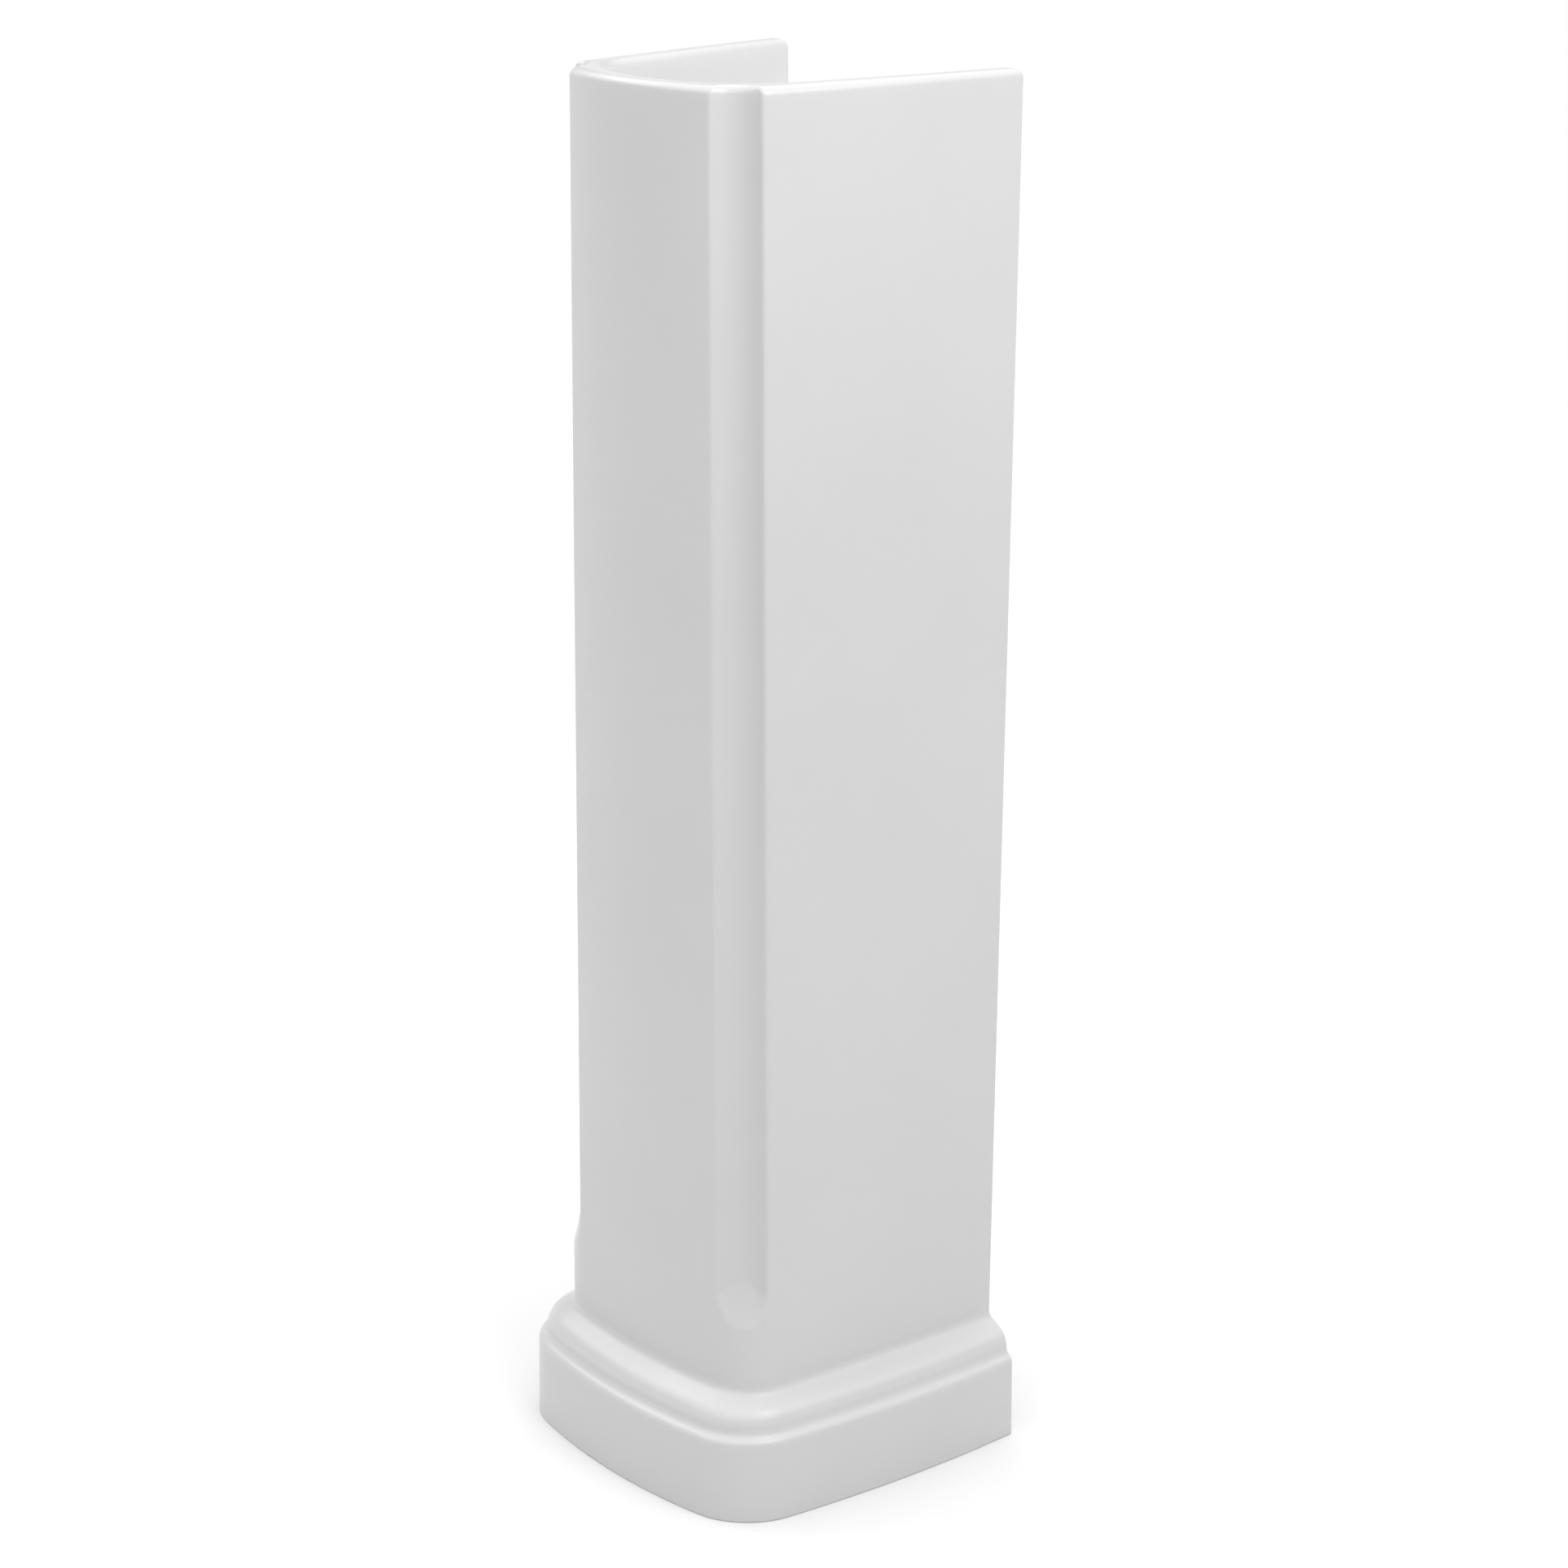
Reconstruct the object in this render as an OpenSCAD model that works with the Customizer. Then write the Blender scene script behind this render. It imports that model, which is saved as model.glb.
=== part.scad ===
// Basin pedestal: a hollow, open-backed vitreous china column on a moulded plinth, with the set that
// fixes its two inner foot lugs to studs in the floor. X runs across, the front faces -Y, the floor is z = 0.

/* [Column] */
// Height from the floor to the basin seat
height = 700; // [650:1:750]
// Width between the front corners at the top
top_front_w = 136.8; // [130:0.2:142]
// Width across the rear edges at the top
top_rear_w = 183; // [176:0.2:188]
// Depth from the rear edges to the front corners at the top
top_depth = 149.4; // [146:0.2:153]
// How far the front bows forward of its corners at the top
top_bow = 16.3; // [12:0.1:18]
// Width between the front corners just above the plinth's moulding
foot_front_w = 151.4; // [146:0.2:156]
// Width across the rear edges just above the moulding
foot_rear_w = 168.6; // [162:0.2:174]
// Depth from the rear edges to the front corners just above the moulding
foot_depth = 156.8; // [152:0.1:162]
// How far the front bows forward of its corners just above the moulding
foot_bow = 7.4; // [5:0.1:10]
// How far the side walls bow outward
side_bow = 1.8; // [1:0.1:3]
// Wall thickness
wall = 15; // [14:0.5:16]

/* [Rim] */
// Wall thickness in the band under the rim
rim_wall = 13; // [12:0.2:14]
// Height of the thinner band under the rim
rim_band = 20; // [15:1:40]
// Radius of the rim's two rolled edges
rim_r = 4.5; // [3:0.1:5.5]

/* [Flutes] */
// Where a flute begins on the front, across from the middle, at the top
flute_front_top = 52.4; // [51:0.2:54]
// Where a flute begins on the front, across from the middle, above the moulding
flute_front_foot = 56.4; // [55:0.2:58]
// How far a flute reaches back along the side at the top
flute_side_top = 9.2; // [8:0.2:11]
// How far a flute reaches back along the side above the moulding
flute_side_foot = 13; // [12:0.2:14]
// Depth of each corner flute below the line between its edges
flute_depth = 4.8; // [3:0.1:5.5]
// Height above the floor where the flute's lower end begins to scoop out
scoop_top = 118; // [110:1:140]
// Height of the scooped end
scoop_h = 22; // [16:1:28]

/* [Plinth] */
// Height of the plinth's upright band
plinth_h = 41; // [38:0.2:43]
// Width between the plinth's front corners
plinth_front_w = 179.8; // [176:0.2:184]
// Width across the plinth's rear edges
plinth_rear_w = 204.2; // [200:0.2:208]
// Depth from the rear edges to the plinth's front corners
plinth_depth = 171.5; // [168:0.1:176]
// How far the plinth's front bows forward of its corners
plinth_bow = 12.3; // [9:0.1:14]
// How far the plinth's sides bow outward
plinth_side_bow = 4.7; // [3:0.1:6]
// How far the rounding of the plinth's front corners reaches each way from the corner
plinth_corner = 27; // [22:0.5:32]
// How much wider the plinth's upright band is at the floor, each side
plinth_draft = 0.6; // [0.2:0.1:1]

/* [Floor fixing] */
// Distance between the two floor studs
stud_spacing = 116; // [110:1:118]
// Distance of the studs from the rear edges
stud_from_rear = 55; // [48:1:70]
// Height of the foot lugs
lug_h = 18; // [15:1:22]
// Radius of a foot lug's round end
lug_r = 17; // [15:0.5:18]
// Radius of the hole in each lug
lug_hole_r = 6.3; // [6.2:0.1:7]
// Radius of the bush's barrel
bush_r = 6; // [5.6:0.1:6]
// Radius of the hole through the bush, for an 8 mm stud
bush_hole_r = 4.3; // [4.2:0.1:4.6]
// Radius of the bush's collar
collar_r = 10; // [9.5:0.1:10.5]
// Thickness of the bush's collar
collar_h = 2.5; // [2:0.1:3.5]
// Radius of the washer
washer_r = 8; // [7.5:0.1:8.5]
// Thickness of the washer
washer_h = 1.6; // [1.2:0.1:2]
// Hexagon nut's width across its flats
nut_flats = 13; // [12.5:0.1:13]
// Height of the nut
nut_h = 6.5; // [6:0.1:7]
// Outer radius of the cover cap
cap_r = 12; // [11.8:0.1:12.5]
// Wall thickness of the cover cap
cap_wall = 1.7; // [1.5:0.1:1.8]
// Height of the cover cap
cap_h = 21; // [20:0.5:23]

/* [Hidden] */

china = "whitesmoke";
nylon = "ivory";
zinc = "silver";
$fn = 48;

// An outline of one level is [front half width, rear half width, depth, front bow, side bow,
// the corner rounding's reach along the front, and its reach along the side]
rear_y = (plinth_depth + plinth_draft + plinth_bow) / 2;
flute_inset = 3;
top_line = [
    top_front_w / 2, top_rear_w / 2, top_depth, top_bow, side_bow,
    top_front_w / 2 - flute_front_top + flute_inset, flute_side_top + flute_inset
];
foot_line = [
    foot_front_w / 2, foot_rear_w / 2, foot_depth, foot_bow, side_bow,
    foot_front_w / 2 - flute_front_foot + flute_inset, flute_side_foot + flute_inset
];
plinth_line = [
    plinth_front_w / 2, plinth_rear_w / 2, plinth_depth, plinth_bow, plinth_side_bow,
    plinth_corner, plinth_corner
];

function lerp(a, b, t) = a + (b - a) * t;
// An outline moved outward by an offset, or inward when it is negative; its corners' reach changes less
corner_growth = 0.7;
function grow(line, offset) = line + offset * [1, 1, 1, 0, 0, corner_growth, corner_growth];
function with_corner(line, reach) = [line[0], line[1], line[2], line[3], line[4], reach, reach];

// Curves of one outline: the right side from the rear (t = 0) and the front from its middle (u = 0)
function side_point(l, t) = [l[1] + (l[0] - l[1]) * t + 4 * l[4] * t * (1 - t), -l[2] * t];
function side_heading(l, t) = [l[0] - l[1] + 4 * l[4] * (1 - 2 * t), -l[2]];
function front_point(l, u) = [l[0] * u, -l[2] - l[3] * (1 - u * u)];
function front_heading(l, u) = [-l[0], -2 * l[3] * u];
function cross2(a, b) = a[0] * b[1] - a[1] * b[0];
function meet(p, v, q, w) = p + v * cross2(q - p, w) / cross2(v, w);
function turn(v, w) = acos(v * w / norm(v) / norm(w));

// A conic arc from p to q that is tangent to both walls there, round the point c where they would meet
function conic(p, c, q, w, k) =
    ((1 - k) * (1 - k) * p + 2 * k * (1 - k) * w * c + k * k * q) / (1 + 2 * k * (1 - k) * (w - 1));

// How much of the flute is cut at a place across it (-1 to 1) and at a height: all of it above the scoop,
// and below scoop_top only as deep as a ramp that runs out to the surface along a rounded edge
scoop_round = 0.7;
function ramp(across, z) = 1 - scoop_round * pow(abs(across), 3) - max(0, scoop_top - z) / scoop_h;
function cut(across, z) = abs(across) == 1 ? 0 : min(1, max(0, ramp(across, z)) / (1 - across * across));

// A rounded corner, hollowed between its two arrises by the flute
flute_steps = 12;
function corner_points(l, z, fluted) = let (
        t = 1 - l[6] / l[2],
        u = 1 - l[5] / l[0],
        p = side_point(l, t),
        q = front_point(l, u),
        c = meet(p, side_heading(l, t), q, front_heading(l, u)),
        w = cos(turn(side_heading(l, t), front_heading(l, u)) / 2),
        start = flute_inset / (2 * w * norm(c - p)),
        end = 1 - flute_inset / (2 * w * norm(c - q)),
        from = conic(p, c, q, w, start),
        chord = conic(p, c, q, w, end) - from,
        inward = [-chord[1], chord[0]] / norm(chord) * sign(cross2(chord, p - c))
    ) concat(
        [p],
        [for (i = [0:flute_steps]) let (
            across = 2 * i / flute_steps - 1,
            round = conic(p, c, q, w, lerp(start, end, i / flute_steps)),
            cove = from + chord * i / flute_steps + inward * flute_depth * (1 - across * across)
        ) fluted ? lerp(round, cove, cut(across, z)) : round],
        [q]
    );

side_steps = 8;
front_steps = 7;
function half_line(l, z, fluted) = let (
        corner = corner_points(l, z, fluted),
        t = 1 - l[6] / l[2],
        u = 1 - l[5] / l[0]
    ) concat(
        [for (i = [0:side_steps - 1]) side_point(l, t * i / side_steps)],
        corner,
        [for (i = [1:front_steps]) front_point(l, u * (1 - i / front_steps))]
    );
// One level of the shell: a line from the rear right edge round the front to the rear left edge
function level(l, z, fluted = false) = let (half = half_line(l, z, fluted), n = len(half)) [
        for (i = [0:2 * n - 2]) let (p = i < n ? half[i] : half[2 * n - 2 - i])
            [(i < n ? 1 : -1) * p[0], p[1] + rear_y, z]
    ];

// Moulding from the column down to the plinth, as [outward, height]
function bend(from, r, start, end, steps) = [
        for (i = [1:steps]) let (a = lerp(start, end, i / steps))
            from + r * [sin(a) - sin(start), cos(a) - cos(start)]
    ];
plinth_out = 17.6;
cove_r = 5;
bead_r = 10;
neck_r = 5;
lip_r = 3.4;
bead_slope = 29;
lip_slope = 30;
small_arc_steps = 3;
large_arc_steps = 5;
function last(points) = points[len(points) - 1];
// Every piece of the moulding, worked upward from the top of the plinth's upright band
lip = bend([plinth_out, plinth_h], lip_r, 90, lip_slope, small_arc_steps);
neck = bend(last(lip), -neck_r, lip_slope, 90, small_arc_steps);
bead = bend(last(neck), bead_r, 90, bead_slope, large_arc_steps);
bead_end = last(bead) + (last(bead)[0] - cove_r * (1 - sin(bead_slope))) * [-1, tan(bead_slope)];
cove = bend(bead_end, -cove_r, bead_slope, 90, small_arc_steps);
moulding = concat([[plinth_out, plinth_h]], lip, neck, bead, [bead_end], cove);
foot_z = last(cove)[1];

function column_line(z) = lerp(foot_line, top_line, (z - foot_z) / (height - foot_z));
function moulded_line(outward) = lerp(foot_line, plinth_line, outward / plinth_out);

// Levels of the column: plain below the scoop, close together through it, and few up the straight flute
scoop_margin = 3;
plain_rows = 3;
scoop_rows = 7;
flute_rows = 4;
scoop_foot = scoop_top - scoop_h - scoop_margin;
plain_levels = [for (i = [1:plain_rows - 1]) lerp(foot_z, scoop_foot, i / plain_rows)];
scoop_levels = [for (i = [0:scoop_rows]) lerp(scoop_foot, scoop_top, i / scoop_rows)];
flute_levels = [for (i = [1:flute_rows]) lerp(scoop_top, height - rim_r, i / flute_rows)];
outer_levels = concat(
    [level(grow(plinth_line, plinth_draft), 0)],
    [for (m = moulding) level(moulded_line(m[0]), m[1])],
    [for (z = plain_levels) level(column_line(z), z)],
    [for (z = concat(scoop_levels, flute_levels)) level(column_line(z), z, true)]
);
// The inside follows the outside at the wall's thickness, with wide corners behind the flutes
inner_corner = 20;
function inner_line(z) = z > foot_z ? column_line(z)
    : lerp(foot_line, plinth_line, smooth((foot_z - z) / (foot_z - plinth_h)));
function smooth(t) = let (s = min(1, max(0, t))) s * s * (3 - 2 * s);
function inner_level(z, thickness) = level(with_corner(grow(inner_line(z), -thickness), inner_corner), z);

rim_steps = 4;
rim_levels = concat(
    [for (i = [1:rim_steps]) let (a = 90 * i / rim_steps)
        level(grow(column_line(height), -rim_r * (1 - cos(a))), height - rim_r * (1 - sin(a)), true)],
    [for (i = [0:rim_steps]) let (a = 90 - 90 * i / rim_steps)
        inner_level(height - rim_r * (1 - sin(a)), rim_wall - rim_r * (1 - cos(a)))]
);

band_slope = 6;
band_foot = height - rim_band - band_slope;
inner_rows = 3;
flare_rows = 5;
inner_levels = concat(
    [inner_level(height - rim_band, rim_wall), inner_level(band_foot, wall)],
    [for (i = [1:inner_rows]) inner_level(lerp(band_foot, foot_z, i / inner_rows), wall)],
    [for (i = [1:flare_rows]) inner_level(lerp(foot_z, plinth_h, i / flare_rows), wall)],
    [inner_level(0, wall)]
);

// A closed skin over a row of levels, with flat ends across the two rear edges
module skin(levels) {
    rows = len(levels);
    n = len(levels[0]);
    function at(row, i) = (row % rows) * n + i;
    polyhedron(
        points = [for (l = levels) each l],
        faces = concat(
            [for (r = [0:rows - 1], i = [0:n - 2]) each [
                [at(r, i), at(r, i + 1), at(r + 1, i)],
                [at(r + 1, i), at(r, i + 1), at(r + 1, i + 1)]
            ]],
            [[for (r = [0:rows - 1]) at(r, 0)]],
            [[for (r = [rows - 1:-1:0]) at(r, n - 1)]]
        )
    );
}

// A hole's tool passes this far beyond the faces it opens
past = 1;
lug_clear = 1.5;
stud_y = rear_y - stud_from_rear;
lug_reach = plinth_rear_w / 2 - wall / 2 - stud_spacing / 2;
module on_stud(side, z) {
    translate([side * stud_spacing / 2, stud_y, z]) children();
}
module foot_lug(side) {
    on_stud(side, lug_clear) mirror([side < 0 ? 1 : 0, 0, 0]) {
        cylinder(r = lug_r, h = lug_h - lug_clear);
        translate([0, -lug_r, 0]) cube([lug_reach, 2 * lug_r, lug_h - lug_clear]);
    }
}

module pedestal() {
    color(china) difference() {
        union() {
            skin(concat(outer_levels, rim_levels, inner_levels));
            for (side = [-1, 1]) foot_lug(side);
        }
        for (side = [-1, 1]) on_stud(side, -past) cylinder(r = lug_hole_r, h = lug_h + 2 * past);
    }
}

// Floor fixing, one set on each stud
bush_top = lug_h + collar_h;
washer_top = bush_top + washer_h;
bush_bottom = 3;
module bush(side) {
    color(nylon) on_stud(side, 0) rotate_extrude() polygon([
        [bush_hole_r, bush_bottom], [bush_r, bush_bottom], [bush_r, lug_h],
        [collar_r, lug_h], [collar_r, bush_top], [bush_hole_r, bush_top]
    ]);
}
module washer(side) {
    color(zinc) on_stud(side, bush_top) difference() {
        cylinder(r = washer_r, h = washer_h);
        translate([0, 0, -past]) cylinder(r = bush_hole_r, h = washer_h + 2 * past);
    }
}
nut_hole_r = 4;
hexagon = 6;
module nut(side) {
    color(zinc) on_stud(side, washer_top) difference() {
        cylinder(r = nut_flats / sqrt(3), h = nut_h, $fn = hexagon);
        translate([0, 0, -past]) cylinder(r = nut_hole_r, h = nut_h + 2 * past);
    }
}
cap_dome = 4;
dome_steps = 6;
module cap(side) {
    color(china) on_stud(side, lug_h) rotate_extrude() polygon(concat(
        [[0, cap_h - cap_wall], [0, cap_h]],
        [for (i = [0:dome_steps]) let (a = 90 * i / dome_steps)
            [cap_r - cap_dome + cap_dome * sin(a), cap_h - cap_dome + cap_dome * cos(a)]],
        [[cap_r, 0], [cap_r - cap_wall, 0], [cap_r - cap_wall, cap_h - cap_dome],
            [cap_r - cap_dome, cap_h - cap_wall]]
    ));
}

pedestal();
bush(-1);  // bush_left
washer(-1);  // washer_left
nut(-1);  // nut_left
cap(-1);  // cap_left
bush(1);  // bush_right
washer(1);  // washer_right
nut(1);  // nut_right
cap(1);  // cap_right
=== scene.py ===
"""Looks of the basin pedestal: a glazed china column, and the fixing set that holds it to the floor.

Lengths are in millimetres until a mesh is made, and MM turns them into metres.
"""

from math import acos, cos, pi, radians, sin, sqrt, tan

import bmesh
import bpy
import numpy as np
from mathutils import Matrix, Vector


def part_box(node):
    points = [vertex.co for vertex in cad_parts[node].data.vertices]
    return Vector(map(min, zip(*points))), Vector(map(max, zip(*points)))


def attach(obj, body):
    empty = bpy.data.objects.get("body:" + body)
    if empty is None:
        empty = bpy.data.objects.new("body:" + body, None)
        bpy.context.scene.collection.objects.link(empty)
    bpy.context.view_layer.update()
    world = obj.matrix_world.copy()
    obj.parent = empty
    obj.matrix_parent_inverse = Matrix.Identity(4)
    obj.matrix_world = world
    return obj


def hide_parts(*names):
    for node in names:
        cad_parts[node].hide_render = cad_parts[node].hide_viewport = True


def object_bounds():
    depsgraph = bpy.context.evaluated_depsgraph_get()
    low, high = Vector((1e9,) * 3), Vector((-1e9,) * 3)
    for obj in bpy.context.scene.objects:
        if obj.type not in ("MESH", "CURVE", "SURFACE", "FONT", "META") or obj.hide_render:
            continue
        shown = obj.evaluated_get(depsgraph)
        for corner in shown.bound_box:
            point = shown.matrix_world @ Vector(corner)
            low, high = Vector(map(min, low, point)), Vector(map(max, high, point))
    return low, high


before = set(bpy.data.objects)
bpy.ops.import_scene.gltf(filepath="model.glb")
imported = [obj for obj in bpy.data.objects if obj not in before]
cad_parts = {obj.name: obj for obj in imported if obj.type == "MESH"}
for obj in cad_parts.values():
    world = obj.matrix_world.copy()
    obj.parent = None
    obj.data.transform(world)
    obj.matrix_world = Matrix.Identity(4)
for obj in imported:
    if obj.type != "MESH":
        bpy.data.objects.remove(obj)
cad_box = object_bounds()
MM = 0.001
TINY = 1e-6

# ---------------------------------------------------------------- camera
CAM_AZIMUTH = 51.4
CAM_ELEVATION = 17.84
CAM_DISTANCE = 1755.0
CAM_LENS = 82.03
CAM_SENSOR = 36
TARGET = np.array([0.0, -27.8, 350.0])
AIM_RIGHT = 39.0
AIM_UP = 3.8


def make_camera():
    azimuth, elevation = radians(CAM_AZIMUTH), radians(CAM_ELEVATION)
    back = np.array([sin(azimuth) * cos(elevation), -cos(azimuth) * cos(elevation), sin(elevation)])
    right = np.cross(-back, (0, 0, 1))
    right /= np.linalg.norm(right)
    up = np.cross(right, -back)
    place = TARGET + back * CAM_DISTANCE
    look = TARGET + right * AIM_RIGHT + up * AIM_UP - place
    data = bpy.data.cameras.new("camera")
    data.lens = CAM_LENS
    data.sensor_width = CAM_SENSOR
    camera = bpy.data.objects.new("camera", data)
    camera.location = Vector(place) * MM
    camera.rotation_euler = Vector(look).to_track_quat("-Z", "Y").to_euler()
    bpy.context.collection.objects.link(camera)
    bpy.context.scene.camera = camera


# ---------------------------------------------------------------- outline of the column
# An outline is [front half width, rear half width, depth, front bow, side bow,
# the corner rounding's reach along the front, and its reach along the side].
FRONT_W, REAR_W, DEPTH, FRONT_BOW, SIDE_BOW, FRONT_REACH, SIDE_REACH = range(7)
CORNER_GROWTH = 0.7
HEIGHT = 700.0
FLUTE_INSET = 3.0
TOP_LINE = np.array([68.4, 91.5, 149.4, 16.3, 1.8, 19.0, 12.2])
FOOT_LINE = np.array([75.7, 84.3, 156.8, 7.4, 1.8, 22.3, 16.0])
PLINTH_LINE = np.array([89.9, 102.1, 171.5, 12.3, 4.7, 27.0, 27.0])
PLINTH_DRAFT = 0.6
PLINTH_H = 41.0
REAR_Y = (PLINTH_LINE[DEPTH] + PLINTH_DRAFT + PLINTH_LINE[FRONT_BOW]) / 2
WALL = 15.0
RIM_WALL = 13.0
RIM_R = 4.5
RIM_BAND = 20.0
BAND_SLOPE = 6.0
END_R = 1.8
END_SHRINK = 0.35
FOOT_R = 0.6
INNER_CORNER = 20.0
FLUTE_DEPTH = 4.8
SCOOP_TOP = 118.0
SCOOP_H = 22.0
SCOOP_ROUND = 0.75
ARRIS_SOFT = 0.8


def lerp(a, b, t):
    return a + (b - a) * t


def grow(line, offset):
    """The outline moved outward by an offset, or inward where it is negative."""
    return line + offset * np.array([1, 1, 1, 0, 0, CORNER_GROWTH, CORNER_GROWTH])


def side_point(line, share):
    """A point on the right side, from its rear edge at 0 to the front at 1."""
    bow = 4 * line[SIDE_BOW] * share * (1 - share)
    return np.array([lerp(line[REAR_W], line[FRONT_W], share) + bow, -line[DEPTH] * share])


def side_heading(line, share):
    bow = 4 * line[SIDE_BOW] * (1 - 2 * share)
    return np.array([line[FRONT_W] - line[REAR_W] + bow, -line[DEPTH]])


def front_point(line, share):
    """A point on the front, from its middle at 0 to its right end at 1."""
    return np.array([line[FRONT_W] * share, -line[DEPTH] - line[FRONT_BOW] * (1 - share * share)])


def front_heading(line, share):
    return np.array([-line[FRONT_W], -2 * line[FRONT_BOW] * share])


def cross2(a, b):
    return a[0] * b[1] - a[1] * b[0]


def turn(a, b):
    """The angle between two directions."""
    return acos(float(a @ b) / np.linalg.norm(a) / np.linalg.norm(b))


SIDE_STEPS = 26
FLUTE_STEPS = 44
FRONT_STEPS = 26
SHOULDER_STEPS = 4
# No press, at a place across the flute that is past its edges
OFF_FLUTE = (0, 0, 9)


def half_line(line):
    """The right half of an outline without its flute, from the rear edge to the middle of the front.

    The second result gives each point's [x, y] press into the flute's full cove, and its place
    across the flute, from -1 to 1.
    """
    side_share = 1 - line[SIDE_REACH] / line[DEPTH]
    front_share = 1 - line[FRONT_REACH] / line[FRONT_W]
    leave, arrive = side_point(line, side_share), front_point(line, front_share)
    leaving, arriving = side_heading(line, side_share), front_heading(line, front_share)
    corner = leave + leaving * cross2(arrive - leave, arriving) / cross2(leaving, arriving)
    weight = cos(turn(leaving, arriving) / 2)

    def rounding(k):
        """A point on the corner's conic arc, from the side at 0 to the front at 1."""
        a, b, c = (1 - k) ** 2, 2 * k * (1 - k) * weight, k * k
        return (a * leave + b * corner + c * arrive) / (a + b + c)

    start = FLUTE_INSET / (2 * weight * np.linalg.norm(corner - leave))
    end = 1 - FLUTE_INSET / (2 * weight * np.linalg.norm(corner - arrive))
    first = rounding(start)
    chord = rounding(end) - first
    inward = np.array([-chord[1], chord[0]]) / np.linalg.norm(chord)
    inward *= np.sign(cross2(chord, leave - corner))
    before = [side_point(line, side_share * i / SIDE_STEPS) for i in range(SIDE_STEPS)]
    before += [rounding(start * i / SHOULDER_STEPS) for i in range(SHOULDER_STEPS)]
    flute, press = [], []
    for i in range(FLUTE_STEPS + 1):
        share = i / FLUTE_STEPS
        across = 2 * share - 1
        cove = first + chord * share + inward * FLUTE_DEPTH * (1 - across * across)
        flute.append(rounding(lerp(start, end, share)))
        press.append((*(cove - flute[-1]), across))
    after = [rounding(lerp(end, 1, i / SHOULDER_STEPS)) for i in range(1, SHOULDER_STEPS + 1)]
    after += [front_point(line, front_share * (1 - i / FRONT_STEPS)) for i in range(1, FRONT_STEPS + 1)]
    press = [OFF_FLUTE] * len(before) + press + [OFF_FLUTE] * len(after)
    return np.array(before + flute + after), np.array(press)


# ---------------------------------------------------------------- moulding
def bend(start, radius, from_angle, to_angle, steps):
    """Points of an arc that follows on from a point, as [outward, height].

    The angles say which way the arc's face looks, from 0 for up to 90 for outward. A negative radius
    makes it a hollow.
    """
    angles = [radians(lerp(from_angle, to_angle, i / steps)) for i in range(1, steps + 1)]
    first = np.array([sin(radians(from_angle)), cos(radians(from_angle))])
    return [np.array(start) + radius * (np.array([sin(a), cos(a)]) - first) for a in angles]


PLINTH_OUT = 17.6
COVE_R, BEAD_R, NECK_R, LIP_R = 5.0, 10.0, 5.0, 3.4
BEAD_SLOPE, LIP_SLOPE = 29, 30
COVE_STEPS, SLOPE_STEPS, BEAD_STEPS, NECK_STEPS, LIP_STEPS = 8, 4, 12, 10, 6


def moulding():
    """The moulding from the plinth up to the column, as [outward from the column, height]."""
    lip = bend((PLINTH_OUT, PLINTH_H), LIP_R, 90, LIP_SLOPE, LIP_STEPS)
    neck = bend(lip[-1], -NECK_R, LIP_SLOPE, 90, NECK_STEPS)
    bead = bend(neck[-1], BEAD_R, 90, BEAD_SLOPE, BEAD_STEPS)
    run = bead[-1][0] - COVE_R * (1 - sin(radians(BEAD_SLOPE)))
    fall = run * np.array([-1, tan(radians(BEAD_SLOPE))])
    slope = [bead[-1] + fall * i / SLOPE_STEPS for i in range(1, SLOPE_STEPS + 1)]
    cove = bend(slope[-1], -COVE_R, BEAD_SLOPE, 90, COVE_STEPS)
    return np.array([(PLINTH_OUT, PLINTH_H), *lip, *neck, *bead, *slope, *cove])


MOULDING = moulding()
FOOT_Z = MOULDING[-1][1]


def smooth(share):
    """A share that eases in from 0 and out to 1, and stops there."""
    kept = min(1.0, max(0.0, share))
    return kept * kept * (3 - 2 * kept)


def column_line(z):
    return lerp(FOOT_LINE, TOP_LINE, (z - FOOT_Z) / (HEIGHT - FOOT_Z))


def outer_line(z):
    """The outside's outline at a height, before its flutes."""
    if z >= FOOT_Z:
        return column_line(z)
    if z >= PLINTH_H:
        out = float(np.interp(z, MOULDING[:, 1], MOULDING[:, 0]))
        return lerp(FOOT_LINE, PLINTH_LINE, out / PLINTH_OUT)
    return grow(PLINTH_LINE, PLINTH_DRAFT * (1 - z / PLINTH_H))


def inner_line(z):
    """The inside's outline at a height, smooth behind the moulding and wider at the rim's thin wall."""
    if z > FOOT_Z:
        follow = column_line(z)
    else:
        follow = lerp(FOOT_LINE, PLINTH_LINE, smooth((FOOT_Z - z) / (FOOT_Z - PLINTH_H)))
    rise = smooth((z - (HEIGHT - RIM_BAND - BAND_SLOPE)) / BAND_SLOPE)
    line = grow(follow, -lerp(WALL, RIM_WALL, rise))
    line[FRONT_REACH] = line[SIDE_REACH] = INNER_CORNER
    return line


# ---------------------------------------------------------------- shell mesh
PLINTH_LEVELS = [0, 0.1, 0.3, FOOT_R, 1.0, 5, 12, 20, 28, 35, 39]
SHAFT_LEVELS, SCOOP_LEVELS, COLUMN_LEVELS, BAND_LEVELS = 8, 30, 34, 7
# How far below the top the band has two more rings, then the turn in degrees between the rim's rings
BAND_DROPS = (15, 9)
RIM_TURN = 10


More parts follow.
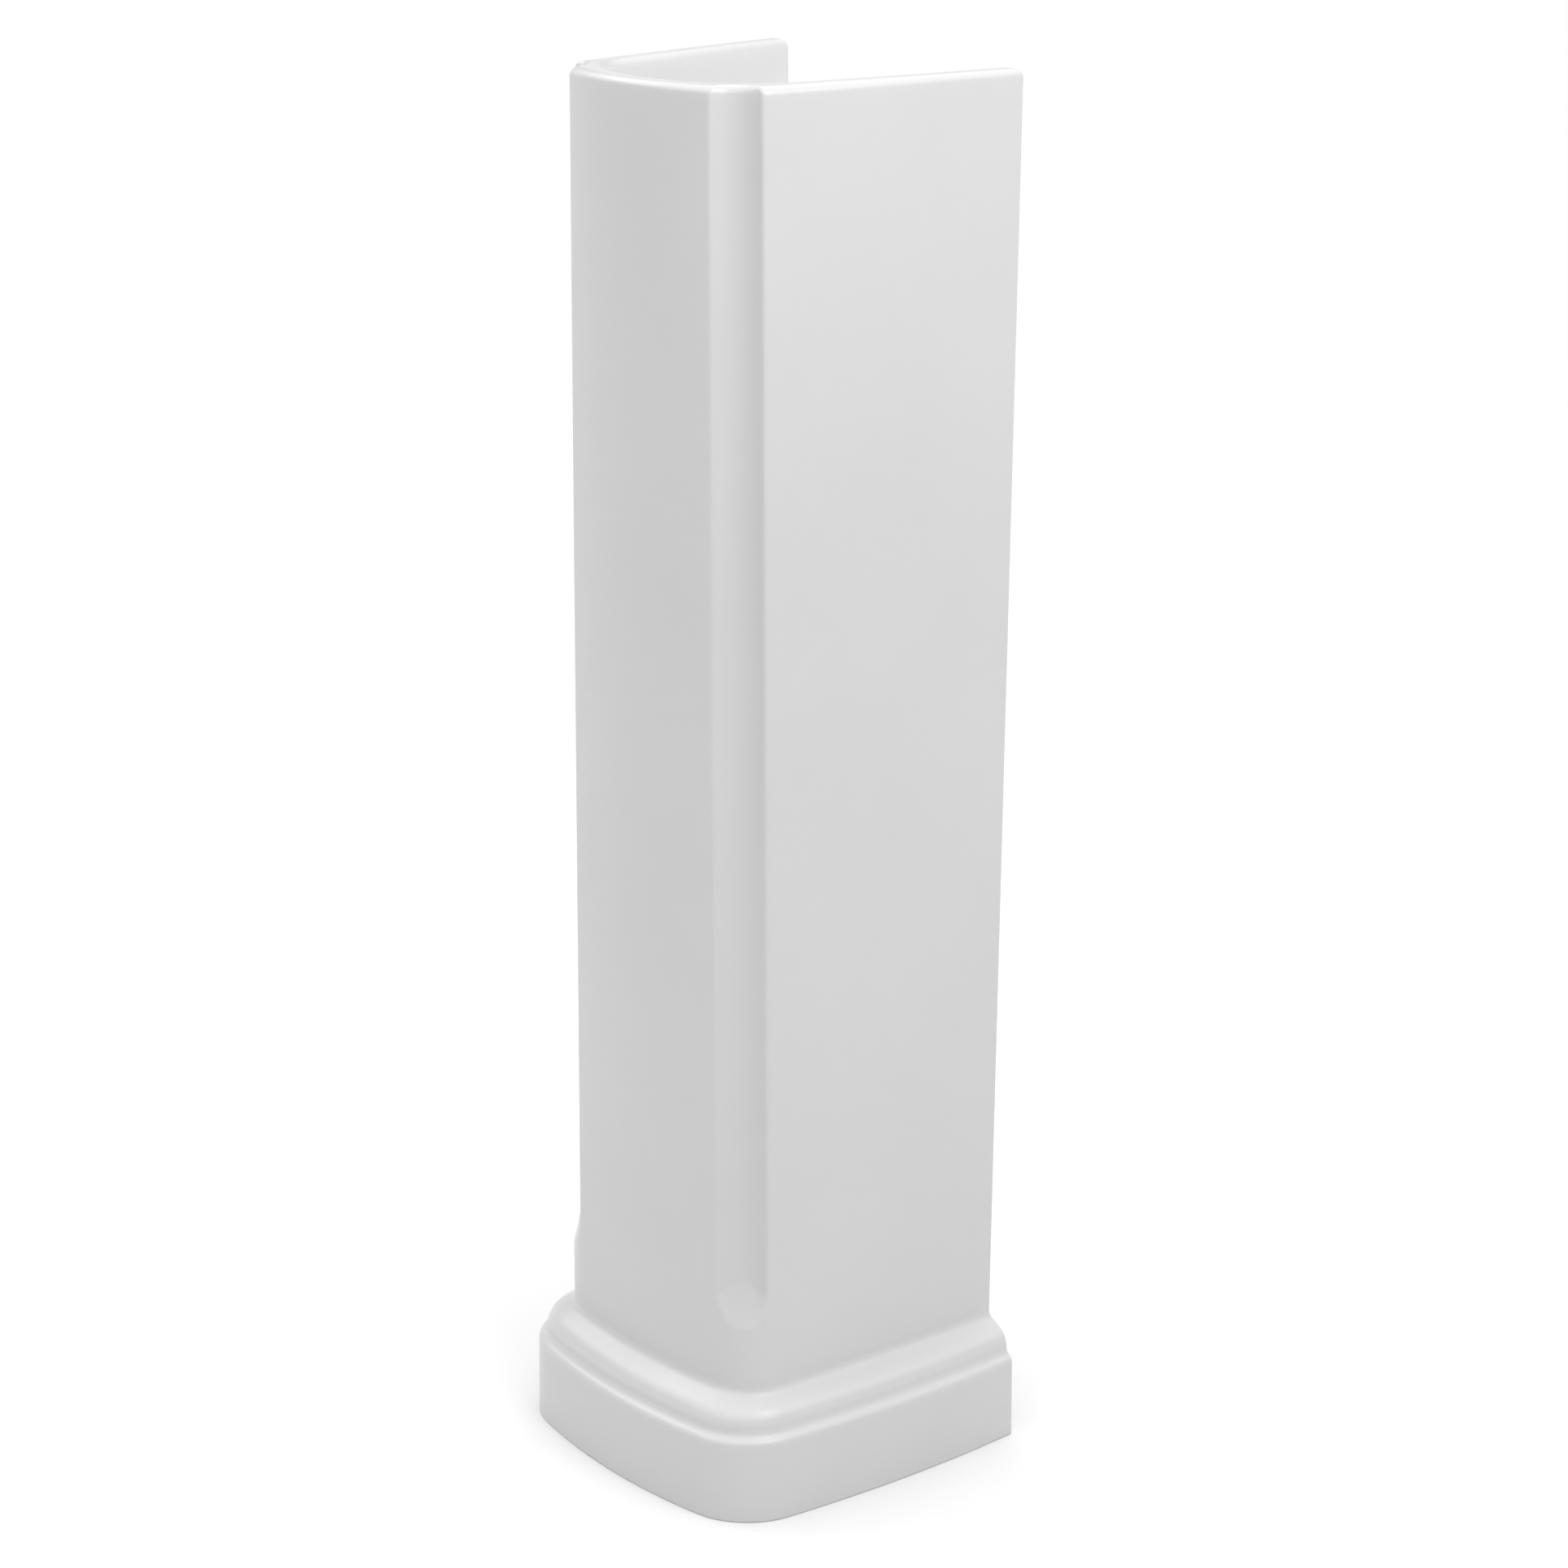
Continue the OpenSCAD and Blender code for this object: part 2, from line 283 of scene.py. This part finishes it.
def heights():
    """The heights of the shell's rings, close together where its section changes."""
    scoop_low, scoop_high = SCOOP_TOP - SCOOP_H - 5, SCOOP_TOP + 6
    band_low, band_high = HEIGHT - RIM_BAND - BAND_SLOPE, HEIGHT - RIM_BAND
    shaft = np.linspace(FOOT_Z + 2, scoop_low - 1, SHAFT_LEVELS)
    scoop = np.linspace(scoop_low, scoop_high, SCOOP_LEVELS)
    column = np.linspace(scoop_high + 4, band_low - 3, COLUMN_LEVELS)
    band = np.linspace(band_low, band_high, BAND_LEVELS)
    rim = [HEIGHT - RIM_R * (1 - sin(radians(a))) for a in range(0, 91, RIM_TURN)]
    above = [HEIGHT - drop for drop in BAND_DROPS]
    return [*PLINTH_LEVELS, *MOULDING[:, 1], *shaft, *scoop, *column, *band, *above, *rim]


def soften(places, width):
    """A matrix that blurs a row of values along their places, by a width in millimetres."""
    gap = np.gradient(places)
    near = np.exp(-0.5 * ((places[:, None] - places[None, :]) / width) ** 2) * gap[None, :]
    return near / near.sum(1)[:, None]


def edge_inset(z):
    """How far the section shrinks to roll the rim's edges and the foot's edge."""
    if z > HEIGHT - RIM_R:
        radius, past = RIM_R, z - (HEIGHT - RIM_R)
    else:
        radius, past = FOOT_R, max(0.0, FOOT_R - z)
    return radius * (1 - sqrt(max(0.0, 1 - (past / radius) ** 2)))


def shell_rings():
    """The rings' heights, and each ring's right half outside, with its flute, and inside."""
    zs = np.array(heights())
    outer, press, inner = [], [], []
    for z in zs:
        plain, cove = half_line(grow(outer_line(z), -edge_inset(z)))
        across = np.abs(cove[:, 2])
        cove_share = np.maximum(TINY, 1 - across ** 2)
        ramp_share = 1 - SCOOP_ROUND * across ** 3 - max(0, SCOOP_TOP - z) / SCOOP_H
        cut = np.where(across < 1, np.clip(ramp_share / cove_share, 0, 1), 0)
        outer.append(plain)
        press.append(cove[:, :2] * cut[:, None])
        inner.append(half_line(grow(inner_line(z), edge_inset(z)))[0])
    outer, press, inner = np.array(outer), np.array(press), np.array(inner)
    middle = outer[len(zs) // 2] + press[len(zs) // 2]
    run = np.concatenate([[0], np.cumsum(np.linalg.norm(np.diff(middle, axis=0), axis=1))])
    press = np.einsum("ij,zjc->zic", soften(run, ARRIS_SOFT), press)
    press = np.einsum("yz,zic->yic", soften(zs, ARRIS_SOFT), press)
    return zs, outer + press, inner


END_STEPS = 6
# How many of an outline's points, from its rear edge on, the rounded end stands in for
END_KEEP = 5


def rounded_end(line, side, inset):
    """The quarter circle that rolls one edge of a wall's rear end, from the wall's face to the end."""
    end_r = END_R - END_SHRINK * inset
    face = line[:SIDE_STEPS][::-1]
    x = float(np.interp(-inset - end_r, face[:, 1], face[:, 0]))
    angles = np.radians(np.linspace(0, 90, END_STEPS + 1))
    across = side * end_r * (1 - np.cos(angles))
    back = end_r * (1 - np.sin(angles))
    return np.stack([x - across, -inset - back], axis=1)


def ring(outer, inner, inset):
    """One closed ring, and the count of points in its right half.

    It runs from the middle of the front round the right wall's end to the inside, and back round the left.
    """
    right = np.concatenate([
        outer[END_KEEP:][::-1],
        rounded_end(outer, 1, inset),
        rounded_end(inner, -1, inset)[::-1],
        inner[END_KEEP:],
    ])
    left = right[::-1][1:-1] * [-1, 1]
    return np.concatenate([right, left]) + [0, REAR_Y], len(right)


# The material slots of the china
GLAZE, INSIDE, BARE = range(3)


def object_from(name, points, faces):
    mesh = bpy.data.meshes.new(name)
    mesh.from_pydata([tuple(float(v) * MM for v in p) for p in points], [], faces)
    bm = bmesh.new()
    bm.from_mesh(mesh)
    bmesh.ops.recalc_face_normals(bm, faces=bm.faces)
    bm.to_mesh(mesh)
    bm.free()
    piece = bpy.data.objects.new(name, mesh)
    bpy.context.collection.objects.link(piece)
    return piece


def smooth_by_angle(piece, degrees):
    for polygon in piece.data.polygons:
        polygon.use_smooth = True
    piece.data.set_sharp_from_angle(angle=radians(degrees))


def stacked(sections):
    """Faces that join sections of equal length, each section's ring closed."""
    count = len(sections[0])
    return [
        (r * count + i, r * count + (i + 1) % count, (r + 1) * count + (i + 1) % count, (r + 1) * count + i)
        for r in range(len(sections) - 1) for i in range(count)
    ]


def end_faces(first, count, half):
    """The faces that close the shell at one end: they join its outside to its inside, right then left."""
    faces = []
    for side in (0, 1):
        for k in range(half // 2 - 1):
            corners = (k, k + 1, half - 2 - k, half - 1 - k)
            faces.append(tuple(first + ((count - c) % count if side else c) for c in corners))
    return faces


def make_shell():
    zs, outer, inner = shell_rings()
    sections = []
    for z, outside, inside in zip(zs, outer, inner):
        points, half = ring(outside, inside, edge_inset(z))
        sections.append([(x, y, z) for x, y in points])
    count = len(sections[0])
    faces = stacked(sections)
    kinds = [INSIDE if half // 2 <= i < count - half // 2 else GLAZE for i in range(count)]
    kinds *= len(sections) - 1
    for first, kind in ((0, BARE), ((len(sections) - 1) * count, GLAZE)):
        closing = end_faces(first, count, half)
        faces += closing
        kinds += [kind] * len(closing)
    shell = object_from("pedestal_china", [p for s in sections for p in s], faces)
    for polygon, kind in zip(shell.data.polygons, kinds):
        polygon.material_index = kind
    return shell


# ---------------------------------------------------------------- foot lugs
LUG_X, LUG_Y = 58.0, REAR_Y - 55
LUG_R, LUG_BOTTOM, LUG_TOP, LUG_HOLE_R = 17.0, 1.5, 18.0, 6.3
LUG_EDGE, LUG_CHAMFER = 2.6, 1.3
LUG_FLARE, LUG_FLARE_RUN, LUG_FLARE_POWER = 7.0, 16, 2.2
LUG_REACH, LUG_SINK = 29.5, 7
LUG_END_STEPS, LUG_SIDE_STEPS = 24, 12
MOUTH_R = 1.2
HOLE_PAST = 0.5
ROLL_TURN = 15


def lug_outline(inset):
    """The lug from above, round its hole: a round end, then sides that flare out into the wall."""
    radius = LUG_R - inset
    angles = np.linspace(-pi / 2, pi / 2, LUG_END_STEPS + 1)
    points = [(-radius * cos(a), -radius * sin(a)) for a in angles]
    for i in range(1, LUG_SIDE_STEPS + 1):
        x = LUG_REACH * i / LUG_SIDE_STEPS
        flared = max(0, (x - LUG_REACH + LUG_FLARE_RUN) / LUG_FLARE_RUN)
        sink = LUG_SINK if i == LUG_SIDE_STEPS else 0
        points.append((x + sink, -(radius + LUG_FLARE * flared ** LUG_FLARE_POWER)))
    return points + [(x, -y) for x, y in points[:LUG_END_STEPS:-1]]


def make_lug(side):
    rows = [(LUG_BOTTOM, LUG_CHAMFER), (LUG_BOTTOM + LUG_CHAMFER, 0), (LUG_TOP - LUG_EDGE, 0)]
    for angle in range(ROLL_TURN, 91, ROLL_TURN):
        a = radians(angle)
        rows.append((LUG_TOP - LUG_EDGE * (1 - sin(a)), LUG_EDGE * (1 - cos(a))))
    sections = [
        [(side * (LUG_X + x), LUG_Y + y, z) for x, y in lug_outline(inset)] for z, inset in rows
    ]
    count = len(sections[0])
    faces = stacked(sections)
    faces.append(tuple(range(count)))
    faces.append(tuple((len(sections) - 1) * count + i for i in range(count)))
    lug = object_from("lug_form", [p for s in sections for p in s], faces)
    for polygon in lug.data.polygons:
        polygon.material_index = INSIDE
    return lug


def turned(name, profile, x, y, steps=64):
    """A solid turned round an upright axis, from a profile that starts and ends on the axis."""
    points, rows = [], []
    for radius, z in profile:
        count = steps if radius > TINY else 1
        rows.append(list(range(len(points), len(points) + count)))
        for i in range(count):
            a = 2 * pi * i / steps
            points.append((x + radius * cos(a), y + radius * sin(a), z))
    faces = []
    for low, high in zip(rows, rows[1:]):
        for i in range(steps):
            j = (i + 1) % steps
            corners = [low[i % len(low)], low[j % len(low)], high[j % len(high)], high[i % len(high)]]
            face = list(dict.fromkeys(corners))
            if len(face) > 2:
                faces.append(tuple(face))
    return object_from(name, points, faces)


def lug_hole(side):
    """The form that cuts a lug's hole, with its rolled mouth, and runs past the lug at both ends."""
    high, low = LUG_TOP + HOLE_PAST, LUG_BOTTOM - 2 * HOLE_PAST
    profile = [(0, high), (LUG_HOLE_R + MOUTH_R + HOLE_PAST, high)]
    for angle in range(90, -1, -ROLL_TURN):
        a = radians(angle)
        profile.append((LUG_HOLE_R + MOUTH_R * (1 - cos(a)), LUG_TOP - MOUTH_R * (1 - sin(a))))
    profile += [(LUG_HOLE_R, low), (0, low)]
    return turned("hole_form", profile, side * LUG_X, LUG_Y)


def combine(piece, tool, operation):
    modifier = piece.modifiers.new(operation, "BOOLEAN")
    modifier.operation = operation
    modifier.solver = "EXACT"
    modifier.object = tool
    with bpy.context.temp_override(object=piece, active_object=piece):
        bpy.ops.object.modifier_apply(modifier=modifier.name)
    bpy.data.objects.remove(tool)


# ---------------------------------------------------------------- nuts
NUT_FLATS = 13.0
NUT_STEPS = 96
FACE_R = 6.2
CHAMFER = radians(30)
MOUTH = 4.25
THREAD_R, THREAD_DEPTH, THREAD_PITCH, THREAD_STEP = 3.4, 0.6, 1.25, 0.16
THREAD_END = 0.5
NUT_SHARP = 25


def nut_section(angle, height):
    """The nut cut at an angle round its axis, as [radius, height]: up the outside, then down its thread."""
    corner_r = NUT_FLATS / 2 / cos(angle % (pi / 3) - pi / 6)
    rise = max(0.0, (corner_r - FACE_R) * tan(CHAMFER))
    outside = [(FACE_R, 0), (corner_r, rise), (corner_r, height - rise), (FACE_R, height)]
    thread = []
    for z in np.arange(height - THREAD_END, THREAD_END, -THREAD_STEP):
        turns = z / THREAD_PITCH - angle / (2 * pi)
        groove = 1 - abs(2 * (turns % 1) - 1)
        thread.append((THREAD_R + THREAD_DEPTH * groove, z))
    return outside + [(MOUTH, height)] + thread + [(MOUTH, 0)]


def make_nut(node, plating):
    low, high = np.array(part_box(node)) / MM
    x, y = (low[:2] + high[:2]) / 2
    sections = []
    for i in range(NUT_STEPS + 1):
        angle = 2 * pi * (i % NUT_STEPS) / NUT_STEPS
        cut = nut_section(angle, high[2] - low[2])
        sections.append([(x + q * cos(angle), y + q * sin(angle), low[2] + z) for q, z in cut])
    points = [p for s in sections[:-1] for p in s]
    faces = [tuple(v % len(points) for v in face) for face in stacked(sections)]
    piece = object_from(f"{node}_threaded", points, faces)
    piece.data.materials.append(plating)
    smooth_by_angle(piece, NUT_SHARP)
    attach(piece, "column")
    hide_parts(node)


# ---------------------------------------------------------------- materials
def new_material(name, **values):
    material = bpy.data.materials.new(name)
    material.use_nodes = True
    shader = material.node_tree.nodes["Principled BSDF"]
    for key, value in values.items():
        shader.inputs[key.replace("_", " ")].default_value = value
    return material, shader


def add_noise(tree, scale, detail=4.0, roughness=0.5):
    where = tree.nodes.new("ShaderNodeTexCoord")
    noise = tree.nodes.new("ShaderNodeTexNoise")
    noise.inputs["Scale"].default_value = scale
    noise.inputs["Detail"].default_value = detail
    noise.inputs["Roughness"].default_value = roughness
    tree.links.new(where.outputs["Object"], noise.inputs["Vector"])
    return noise


def add_ramp(tree, source, stops):
    ramp = tree.nodes.new("ShaderNodeValToRGB")
    first, last = ramp.color_ramp.elements
    first.position, first.color = stops[0][0], (*stops[0][1], 1)
    last.position, last.color = stops[-1][0], (*stops[-1][1], 1)
    for place, colour in stops[1:-1]:
        ramp.color_ramp.elements.new(place).color = (*colour, 1)
    tree.links.new(source, ramp.inputs["Fac"])
    return ramp


def add_bump(tree, height, strength, distance, after=None):
    bump = tree.nodes.new("ShaderNodeBump")
    bump.inputs["Strength"].default_value = strength
    bump.inputs["Distance"].default_value = distance
    tree.links.new(height, bump.inputs["Height"])
    if after:
        tree.links.new(after.outputs["Normal"], bump.inputs["Normal"])
    return bump


def grey(value, warmth=0.0):
    return (value, value * (1 - 0.4 * warmth), value * (1 - warmth))


WARMTH = 0.004
# Tones are [light, dark]
OUTER_TONES = (0.541, 0.524)
# The inside's tones are painted light: the same glaze made lighter, to stand in for the light that bounces
# round inside the column.
INSIDE_PAINTED_LIGHT_TONES = (0.657, 0.633)
OUTER_ROUGHNESS = 0.34
INNER_ROUGHNESS = 0.38


def glaze_colour(tree, tones):
    """The china's colour, which drifts slowly between two tones."""
    light, dark = tones
    patches = add_noise(tree, scale=9.0, detail=3.0)
    ramp = add_ramp(tree, patches.outputs["Fac"], [(0.3, grey(dark, WARMTH)), (0.7, grey(light, WARMTH))])
    return ramp.outputs["Color"]


def fade_painted_light_at_rim(tree, below, above):
    """One colour below the rim's rolled edge, and another that takes over from it round the roll: here the
    inside's painted light, its lighter tone, fades into the outside's tone at the rim.
    """
    split = tree.nodes.new("ShaderNodeSeparateXYZ")
    tree.links.new(tree.nodes.new("ShaderNodeTexCoord").outputs["Object"], split.inputs["Vector"])
    reach = tree.nodes.new("ShaderNodeMapRange")
    reach.interpolation_type = "SMOOTHSTEP"
    reach.inputs["From Min"].default_value = (HEIGHT - RIM_R) * MM
    reach.inputs["From Max"].default_value = (HEIGHT - 0.1 * RIM_R) * MM
    tree.links.new(split.outputs["Z"], reach.inputs["Value"])
    mix = tree.nodes.new("ShaderNodeMix")
    mix.data_type = "RGBA"
    tree.links.new(reach.outputs["Result"], mix.inputs["Factor"])
    tree.links.new(below, mix.inputs["A"])
    tree.links.new(above, mix.inputs["B"])
    return mix.outputs["Result"]


def glaze(name, tones, roughness, rim_tones=None):
    """Clear glaze over white china: slow waves, a fine orange peel, and patches of tone and gloss."""
    material, shader = new_material(name, IOR=1.5, Coat_Weight=0.12, Coat_Roughness=0.15, Coat_IOR=1.5)
    tree = material.node_tree
    colour = glaze_colour(tree, tones)
    # With rim_tones, the colour is the inside's painted light, a lighter copy of the glaze, and fades to
    # rim_tones round the rim's roll.
    if rim_tones:
        colour = fade_painted_light_at_rim(tree, colour, glaze_colour(tree, rim_tones))
    tree.links.new(colour, shader.inputs["Base Color"])
    patches = add_noise(tree, scale=26.0, detail=5.0)
    gloss = add_ramp(tree, patches.outputs["Fac"],
                     [(0.3, grey(roughness * 0.85)), (0.75, grey(roughness * 1.2))])
    tree.links.new(gloss.outputs["Color"], shader.inputs["Roughness"])
    slow = add_noise(tree, scale=14.0, detail=1.0)
    fine = add_noise(tree, scale=420.0, detail=2.0)
    waves = add_bump(tree, slow.outputs["Fac"], strength=0.25, distance=0.0012)
    peel = add_bump(tree, fine.outputs["Fac"], strength=0.12, distance=0.00012, after=waves)
    tree.links.new(peel.outputs["Normal"], shader.inputs["Normal"])
    tree.links.new(waves.outputs["Normal"], shader.inputs["Coat Normal"])
    return material


def bisque():
    """The unglazed ring that the plinth stands on in the kiln: dry, grainy and a little warm."""
    material, shader = new_material("bare_china", Roughness=0.85)
    tree = material.node_tree
    speck = add_noise(tree, scale=900.0, detail=6.0, roughness=0.7)
    colour = add_ramp(tree, speck.outputs["Fac"], [(0.35, (0.48, 0.45, 0.41)), (0.65, (0.63, 0.61, 0.57))])
    tree.links.new(colour.outputs["Color"], shader.inputs["Base Color"])
    bump = add_bump(tree, speck.outputs["Fac"], strength=0.6, distance=0.0003)
    tree.links.new(bump.outputs["Normal"], shader.inputs["Normal"])
    return material


def plastic(name, light, dark, roughness, grain_scale):
    """Moulded plastic with a faint grain."""
    material, shader = new_material(name, Roughness=roughness)
    tree = material.node_tree
    patches = add_noise(tree, scale=120.0)
    colour = add_ramp(tree, patches.outputs["Fac"], [(0.3, dark), (0.7, light)])
    tree.links.new(colour.outputs["Color"], shader.inputs["Base Color"])
    grain = add_noise(tree, grain_scale, detail=3.0)
    bump = add_bump(tree, grain.outputs["Fac"], strength=0.25, distance=0.00008)
    tree.links.new(bump.outputs["Normal"], shader.inputs["Normal"])
    return material


def zinc():
    """Bright zinc plating: bluish, cloudy in colour and gloss, and finely pitted."""
    material, shader = new_material("bright_zinc", Metallic=1.0)
    tree = material.node_tree
    clouds = add_noise(tree, scale=180.0, detail=5.0)
    colour = add_ramp(tree, clouds.outputs["Fac"], [(0.3, (0.50, 0.53, 0.57)), (0.7, (0.72, 0.73, 0.74))])
    tree.links.new(colour.outputs["Color"], shader.inputs["Base Color"])
    smears = add_noise(tree, scale=600.0)
    dull = add_ramp(tree, smears.outputs["Fac"], [(0.3, grey(0.29)), (0.75, grey(0.45))])
    tree.links.new(dull.outputs["Color"], shader.inputs["Roughness"])
    pits = add_noise(tree, scale=1500.0, detail=3.0)
    bump = add_bump(tree, pits.outputs["Fac"], strength=0.3, distance=0.00005)
    tree.links.new(bump.outputs["Normal"], shader.inputs["Normal"])
    return material


# ---------------------------------------------------------------- pieces
CHINA_SHARP = 32


def make_pedestal():
    piece = make_shell()
    china = [
        glaze("glaze", OUTER_TONES, OUTER_ROUGHNESS),
        # The inside glaze is a lighter copy of the outer glaze: painted light.
        glaze("glaze_inside_painted_light", INSIDE_PAINTED_LIGHT_TONES, INNER_ROUGHNESS, rim_tones=OUTER_TONES),
        bisque(),
    ]
    for material in china:
        piece.data.materials.append(material)
    for side in (-1, 1):
        for tool, operation in ((make_lug(side), "UNION"), (lug_hole(side), "DIFFERENCE")):
            for material in china:
                tool.data.materials.append(material)
            combine(piece, tool, operation)
    smooth_by_angle(piece, CHINA_SHARP)
    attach(piece, "column")
    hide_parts("pedestal")


def dress(node, material):
    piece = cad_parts[node]
    piece.data.materials.clear()
    piece.data.materials.append(material)


# ---------------------------------------------------------------- studio
FLOOR_REACH = 30
FLOOR_GAP = 0.00005
FLOOR_TONE = 0.74
LAMP_AIM_Z = 0.55
SUN_POWER = 0.1
SUN_ANGLE = radians(25)
# The studio's walls and ceiling: each stop is [sine of the elevation, brightness]
SKY = [(0.0, 1.0), (0.18, 1.0), (0.24, 0.06), (0.47, 0.06), (0.53, 1.7), (1.0, 1.7)]
# Each softbox is [name, azimuth, elevation, distance, power, size]
SOFTBOXES = [
    ("right", 92, 42, 0.75, 1.5, 0.5),
    ("far_right", 90, 40, 1.4, 2.8, 0.8),
    ("left", -85, 32, 1.4, 1.9, 0.8),
    ("front_left", -70, 42, 1.4, 2.0, 0.8),
]


def make_stage():
    corners = [(FLOOR_REACH * x, FLOOR_REACH * y, 0) for x, y in ((-1, -1), (1, -1), (1, 1), (-1, 1))]
    mesh = bpy.data.meshes.new("floor")
    mesh.from_pydata(corners, [], [(0, 1, 2, 3)])
    floor = bpy.data.objects.new("floor", mesh)
    floor.location.z = cad_box[0][2] - FLOOR_GAP
    bpy.context.collection.objects.link(floor)
    material, shader = new_material("floor_paint", Roughness=0.9)
    shader.inputs["Base Color"].default_value = (*grey(FLOOR_TONE), 1)
    mesh.materials.append(material)


def add_lamp(name, kind, azimuth, elevation, distance, power):
    """A lamp that looks at the column's upper half from a compass direction, azimuth 0 being the front."""
    data = bpy.data.lights.new(name, kind)
    data.energy = power
    a, e = radians(azimuth), radians(elevation)
    away = Vector((sin(a) * cos(e), -cos(a) * cos(e), sin(e)))
    lamp = bpy.data.objects.new(name, data)
    lamp.location = away * distance + Vector((0, 0, LAMP_AIM_Z))
    lamp.rotation_euler = away.to_track_quat("Z", "Y").to_euler()
    bpy.context.collection.objects.link(lamp)
    return data


def make_light():
    world = bpy.data.worlds.new("studio")
    world.use_nodes = True
    tree = world.node_tree
    where = tree.nodes.new("ShaderNodeTexCoord")
    split = tree.nodes.new("ShaderNodeSeparateXYZ")
    tree.links.new(where.outputs["Generated"], split.inputs["Vector"])
    sky = add_ramp(tree, split.outputs["Z"], [(height, grey(level)) for height, level in SKY])
    tree.links.new(sky.outputs["Color"], tree.nodes["Background"].inputs["Color"])
    bpy.context.scene.world = world
    add_lamp("overhead", "SUN", 0, 90, 3, SUN_POWER).angle = SUN_ANGLE
    for name, azimuth, elevation, distance, power, size in SOFTBOXES:
        box = add_lamp(name, "AREA", azimuth, elevation, distance, power)
        box.shape = "DISK"
        box.size = size


make_camera()
make_pedestal()
nylon = plastic("nylon", (0.72, 0.71, 0.65), (0.67, 0.66, 0.60), roughness=0.45, grain_scale=900.0)
cap_plastic = plastic("cap_plastic", (0.74, 0.74, 0.73), (0.71, 0.71, 0.70), roughness=0.3,
                      grain_scale=500.0)
plating = zinc()
for side in ("left", "right"):
    dress(f"bush_{side}", nylon)
    dress(f"washer_{side}", plating)
    make_nut(f"nut_{side}", plating)
    dress(f"cap_{side}", cap_plastic)
make_stage()
make_light()
bpy.context.scene.view_settings.view_transform = "Standard"
